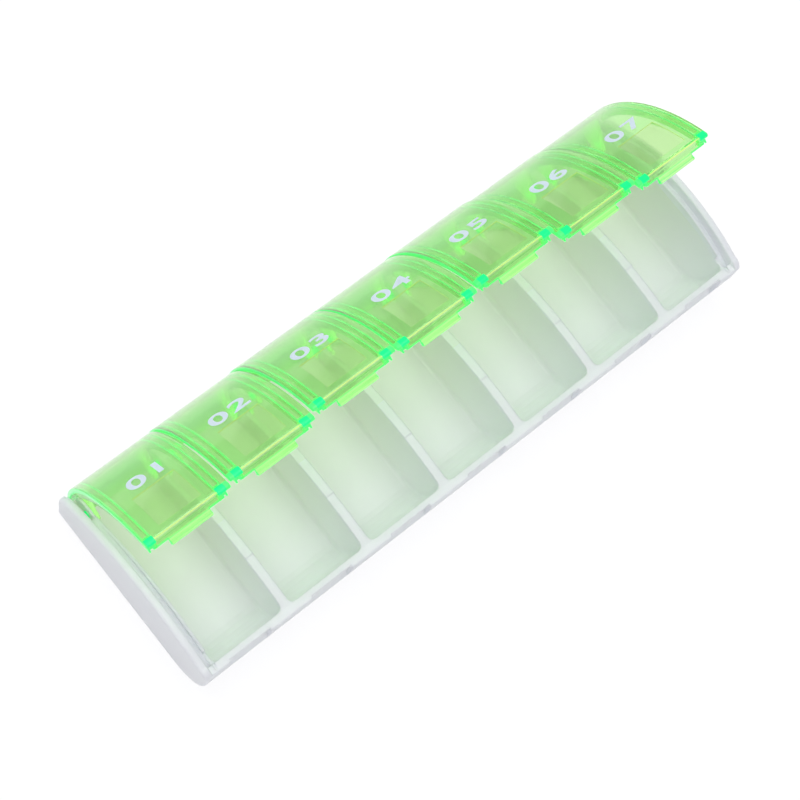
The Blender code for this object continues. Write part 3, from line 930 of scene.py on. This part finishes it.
        # The panel is what lies deeper than half its depth, and its lip is the steep step round it
        front_angle, back_angle = self.panel_angles
        near_panel = (wide < self.panel_half + self.edge) & (reach > h.dome_radius - 1.5 * self.panel_depth)
        panel = near_panel & (reach < h.dome_radius - 0.5 * self.panel_depth) & (turn > back_angle)
        lip = near_panel & (turn > back_angle - 0.3) & (turn < front_angle + 0.3)
        lip &= (reach < h.dome_radius - 0.1 * self.panel_depth) & (np.abs(inwards) < 0.9)
        chosen[panel] = number[Finish.PANEL]

        # The bend is the first part of the round front edge, by the angle about that edge's middle. It and
        # the panel's lip take a painted highlight, and the posts' heads, the faces under them and the edge
        # beyond them a painted glow
        nose_y, nose_z = self.nose()
        bend = np.degrees(np.arctan2(z - nose_z, y - nose_y)) - h.nose_angle
        front = (turn > h.nose_angle) & (bend > 0) & (bend < self.bend_turn)
        chosen[(front & ~in_post) | lip] = number[Finish.BEND]
        chosen[at_nose & in_post] = number[Finish.POST]
        under_nose = (turn > h.nose_angle - 3) & (z < nose_z - 0.75 * self.wall)
        chosen[in_post & under_nose] = number[Finish.RIB]
        chosen[at_nose & (wide > outer_edge)] = number[Finish.RIB]

        # The wall's side edges, painted: the left one with the rib's green glow and the right one with the
        # tongue's paler glow
        rim = 0.4 * self.edge
        chosen[x < -halves[0] + rim] = number[Finish.RIB]
        chosen[x > halves[1] - rim] = number[Finish.TONGUE]
        mesh.polygons.foreach_set("material_index", chosen)


_materials: dict[Finish, bpy.types.Material] = {}


def material_of(finish: Finish) -> bpy.types.Material:
    """Look up a finish's material, which is made when it is first asked for.

    Args:
        finish: the finish.

    Returns:
        Its one material.
    """
    if finish not in _materials:
        _materials[finish] = finish.value.material()
    return _materials[finish]


@dataclass
class Numeral:
    """The two-figure number printed across a lid.

    Boldness and spacing are the type's own, as shares of its body and of its usual distance.
    """

    hinge: Hinge = field(default_factory=Hinge)
    height: float = 4.3 * MM
    widening: float = 1.5
    middle_angle: float = 94.1
    film: float = 0.03 * MM
    strips: int = 10
    boldness: float = 0.022
    spacing: float = 1.15

    def cut_in_strips(self, flat: bpy.types.Mesh) -> None:
        """Cut flat figures along level lines, so that each strip can follow the dome.

        Args:
            flat: the figures' flat mesh, which is changed.
        """
        heights = places_of(flat)[:, 1]
        shape = bmesh.new()
        shape.from_mesh(flat)
        for v in np.linspace(heights.min(), heights.max(), self.strips + 1)[1:-1]:
            bmesh.ops.bisect_plane(
                shape,
                geom=shape.verts[:] + shape.edges[:] + shape.faces[:],
                plane_co=(0, v, 0),
                plane_no=(0, 1, 0),
            )
        shape.to_mesh(flat)
        shape.free()

    def mesh(self, number: int) -> bpy.types.Mesh:
        """Draw the number flat, bend it over the dome and give it the ink's thickness.

        A flat place (x, v) goes to the angle that v covers on the dome: a = middle - v / radius.

        Args:
            number: the number to print.

        Returns:
            The print in the lid's closed place.
        """
        curve = bpy.data.curves.new("numeral", "FONT")
        curve.body = f"{number:02d}"
        curve.offset = self.boldness
        curve.space_character = self.spacing
        curve.resolution_u = 6
        item = bpy.data.objects.new("numeral", curve)
        bpy.context.scene.collection.objects.link(item)
        bpy.context.view_layer.update()
        flat = bpy.data.meshes.new_from_object(item)
        bpy.data.objects.remove(item, do_unlink=True)
        self.cut_in_strips(flat)
        places = places_of(flat)
        low, high = places.min(axis=0), places.max(axis=0)
        scale = self.height / (high[1] - low[1])
        across = (places[:, 0] - (low[0] + high[0]) / 2) * scale * self.widening
        up = (places[:, 1] - (low[1] + high[1]) / 2) * scale
        turn = np.radians(self.middle_angle) - up / self.hinge.dome_radius
        top = self.hinge.dome_radius + self.film
        low_ring = self.hinge.dome_radius - self.film
        rows = [
            np.column_stack(
                [across, self.hinge.dome_y + r * np.cos(turn), self.hinge.dome_z + r * np.sin(turn)]
            )
            for r in (top, low_ring)
        ]
        count = len(places)
        faces = [tuple(p.vertices) for p in flat.polygons]
        # An edge that only one face runs along is on the rim, and the dict keeps the edges in order
        edges = dict.fromkeys((a, b) for face in faces for a, b in zip(face, face[1:] + face[:1]))
        rim = [(a, b) for a, b in edges if (b, a) not in edges]
        sides = [(b, a, a + count, b + count) for a, b in rim]
        under = [tuple(i + count for i in face[::-1]) for face in faces]
        return Solid(np.vstack(rows), faces + under + sides).mesh(f"numeral_{number}")


@dataclass
class LidRow:
    """The seven lids, each as far open as it was left, with its number."""

    pitch: float = 21.0 * MM
    open_degrees: tuple[float, ...] = (52.4, 53.6, 55.5, 55.1, 56.0, 53.1, 51.6)
    hinge: Hinge = field(default_factory=Hinge)

    def build(self) -> None:
        """Build all lids and their print, and ride each on its own body."""
        lid = Lid()
        numeral = Numeral()
        last = len(self.open_degrees) - 1
        shapes = {side: lid.mesh(side) for side in Side}
        for i, degrees in enumerate(self.open_degrees):
            side = Side.LEFT if i == 0 else Side.RIGHT if i == last else Side.NONE
            middle_x = (i - last / 2) * self.pitch
            shell = shapes[side].copy()
            set_places(shell, self.hinge.swung(places_of(shell), middle_x, degrees))
            name = f"lid_{i + 1}"
            piece = placed(f"{name}_clear", shell, name)
            piece.visible_shadow = False
            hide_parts(name)
            figures = numeral.mesh(i + 1)
            set_places(figures, self.hinge.swung(places_of(figures), middle_x, degrees))
            figures.materials.append(material_of(Finish.PRINT))
            placed(f"{name}_number", figures, name)


def placed(name: str, mesh: bpy.types.Mesh, body: str) -> bpy.types.Object:
    """Put a finished mesh into the scene as a piece that rides on a body.

    Args:
        name: the piece's name.
        mesh: its mesh, already in place.
        body: the body that it rides on.

    Returns:
        The new piece.
    """
    piece = bpy.data.objects.new(name, mesh)
    bpy.context.scene.collection.objects.link(piece)
    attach(piece, body)
    log.info("%s: %d faces on %s", name, len(mesh.polygons), body)
    return piece


@dataclass
class Tray:
    """The white tray, whose solid shape is already right and gets its finish here."""

    node: str = "tray"

    def dress(self) -> None:
        """Give the tray its moulded finish."""
        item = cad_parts[self.node]
        item.data.materials.clear()
        item.data.materials.append(material_of(Finish.TRAY))
        log.info("%s: dressed", self.node)


@dataclass
class Studio:
    """Camera at the photograph's view, a plain white floor and soft light.

    The floor mixes its own matt white with white light by white_share, which keeps it bright round the
    box while part of the box's shadow still shows.
    """

    lens: float = 88.509
    sensor: float = 36.0
    place: tuple[float, float, float] = (-131.769 * MM, -48.791 * MM, 407.391 * MM)
    right: tuple[float, float, float] = (0.76197, -0.62467, 0.17083)
    up: tuple[float, float, float] = (0.57163, 0.77272, 0.27594)
    back: tuple[float, float, float] = (-0.30437, -0.11261, 0.94587)
    floor_size: float = 6.0
    floor_drop: float = 0.2 * MM
    white_share: float = 0.72
    white_strength: float = 1.12
    room_strength: float = 0.49

    def camera(self) -> None:
        """Stand the camera where the photograph was taken from."""
        data = bpy.data.cameras.new("camera")
        data.lens = self.lens
        data.sensor_width = self.sensor
        data.sensor_fit = "HORIZONTAL"
        data.clip_start = 0.01
        data.clip_end = 20.0
        item = bpy.data.objects.new("camera", data)
        bpy.context.scene.collection.objects.link(item)
        turn = Matrix((self.right, self.up, self.back)).transposed().to_4x4()
        item.matrix_world = Matrix.Translation(Vector(self.place)) @ turn
        bpy.context.scene.camera = item

    def floor(self) -> None:
        """Lay the floor: white to the camera and through the lids, and it keeps a soft shadow."""
        half = self.floor_size / 2
        corners = np.array([(-half, -half, 0), (half, -half, 0), (half, half, 0), (-half, half, 0)])
        mesh = Solid(corners, [(0, 1, 2, 3)]).mesh("floor")
        made = bpy.data.materials.new("paper_white")
        made.use_nodes = True
        tree = made.node_tree
        shader = tree.nodes["Principled BSDF"]
        shader.inputs["Base Color"].default_value = linear("F4F4F4")
        shader.inputs["Roughness"].default_value = 0.9
        rays = add_node(tree, "ShaderNodeLightPath")
        seen = add_node(
            tree,
            "ShaderNodeMath",
            {"operation": "MAXIMUM"},
            {"0": rays.outputs["Is Camera Ray"], "1": rays.outputs["Is Transmission Ray"]},
        )
        any_seen = add_node(
            tree,
            "ShaderNodeMath",
            {"operation": "MAXIMUM"},
            {"0": seen.outputs[0], "1": rays.outputs["Is Glossy Ray"]},
        )
        share = add_node(
            tree,
            "ShaderNodeMath",
            {"operation": "MULTIPLY", "1": self.white_share},
            {"0": any_seen.outputs[0]},
        )
        white = add_node(
            tree, "ShaderNodeEmission", {"Color": (1, 1, 1, 1), "Strength": self.white_strength}
        )
        mixed = add_node(
            tree,
            "ShaderNodeMixShader",
            {},
            {"0": share.outputs[0], "1": shader.outputs[0], "2": white.outputs[0]},
        )
        tree.links.new(mixed.outputs[0], tree.nodes["Material Output"].inputs["Surface"])
        mesh.materials.append(made)
        item = bpy.data.objects.new("floor", mesh)
        item.location.z = -self.floor_drop
        bpy.context.scene.collection.objects.link(item)

    def lamp(self, name: str, place: tuple[float, float, float], size: float, power: float) -> None:
        """Hang a soft square lamp that looks at the box.

        Args:
            name: the lamp's name.
            place: where it hangs, in metres.
            size: its side, in metres.
            power: its power, in watts.
        """
        data = bpy.data.lights.new(name, "AREA")
        data.size = size
        data.energy = power
        item = bpy.data.objects.new(name, data)
        item.location = place
        item.rotation_euler = (-Vector(place)).to_track_quat("-Z", "Y").to_euler()
        bpy.context.scene.collection.objects.link(item)

    def world(self) -> None:
        """Make the room: white to the camera, a little softer as light."""
        world = bpy.data.worlds.new("room")
        world.use_nodes = True
        bpy.context.scene.world = world
        tree = world.node_tree
        rays = add_node(tree, "ShaderNodeLightPath")
        light = tree.nodes["Background"]
        light.inputs["Color"].default_value = linear("F4F6FF")
        light.inputs["Strength"].default_value = self.room_strength
        seen = add_node(tree, "ShaderNodeBackground", {"Color": (1, 1, 1, 1), "Strength": 1.0})
        mixed = add_node(
            tree,
            "ShaderNodeMixShader",
            {},
            {"0": rays.outputs["Is Camera Ray"], "1": light.outputs[0], "2": seen.outputs[0]},
        )
        tree.links.new(mixed.outputs[0], tree.nodes["World Output"].inputs["Surface"])

    def build(self) -> None:
        """Set up the whole studio."""
        bpy.context.scene.view_settings.view_transform = "Standard"
        self.camera()
        self.floor()
        self.world()
        self.lamp("key", (-0.05, -0.12, 1.0), 0.9, 3.6)
        self.lamp("fill", (-0.05, 0.5, 0.8), 0.9, 2.0)


def main() -> None:
    """Build every piece in order."""
    logging.basicConfig(level=logging.INFO, format="%(message)s")
    Studio().build()
    Tray().dress()
    LidRow().build()


if __name__ == "__main__":
    main()
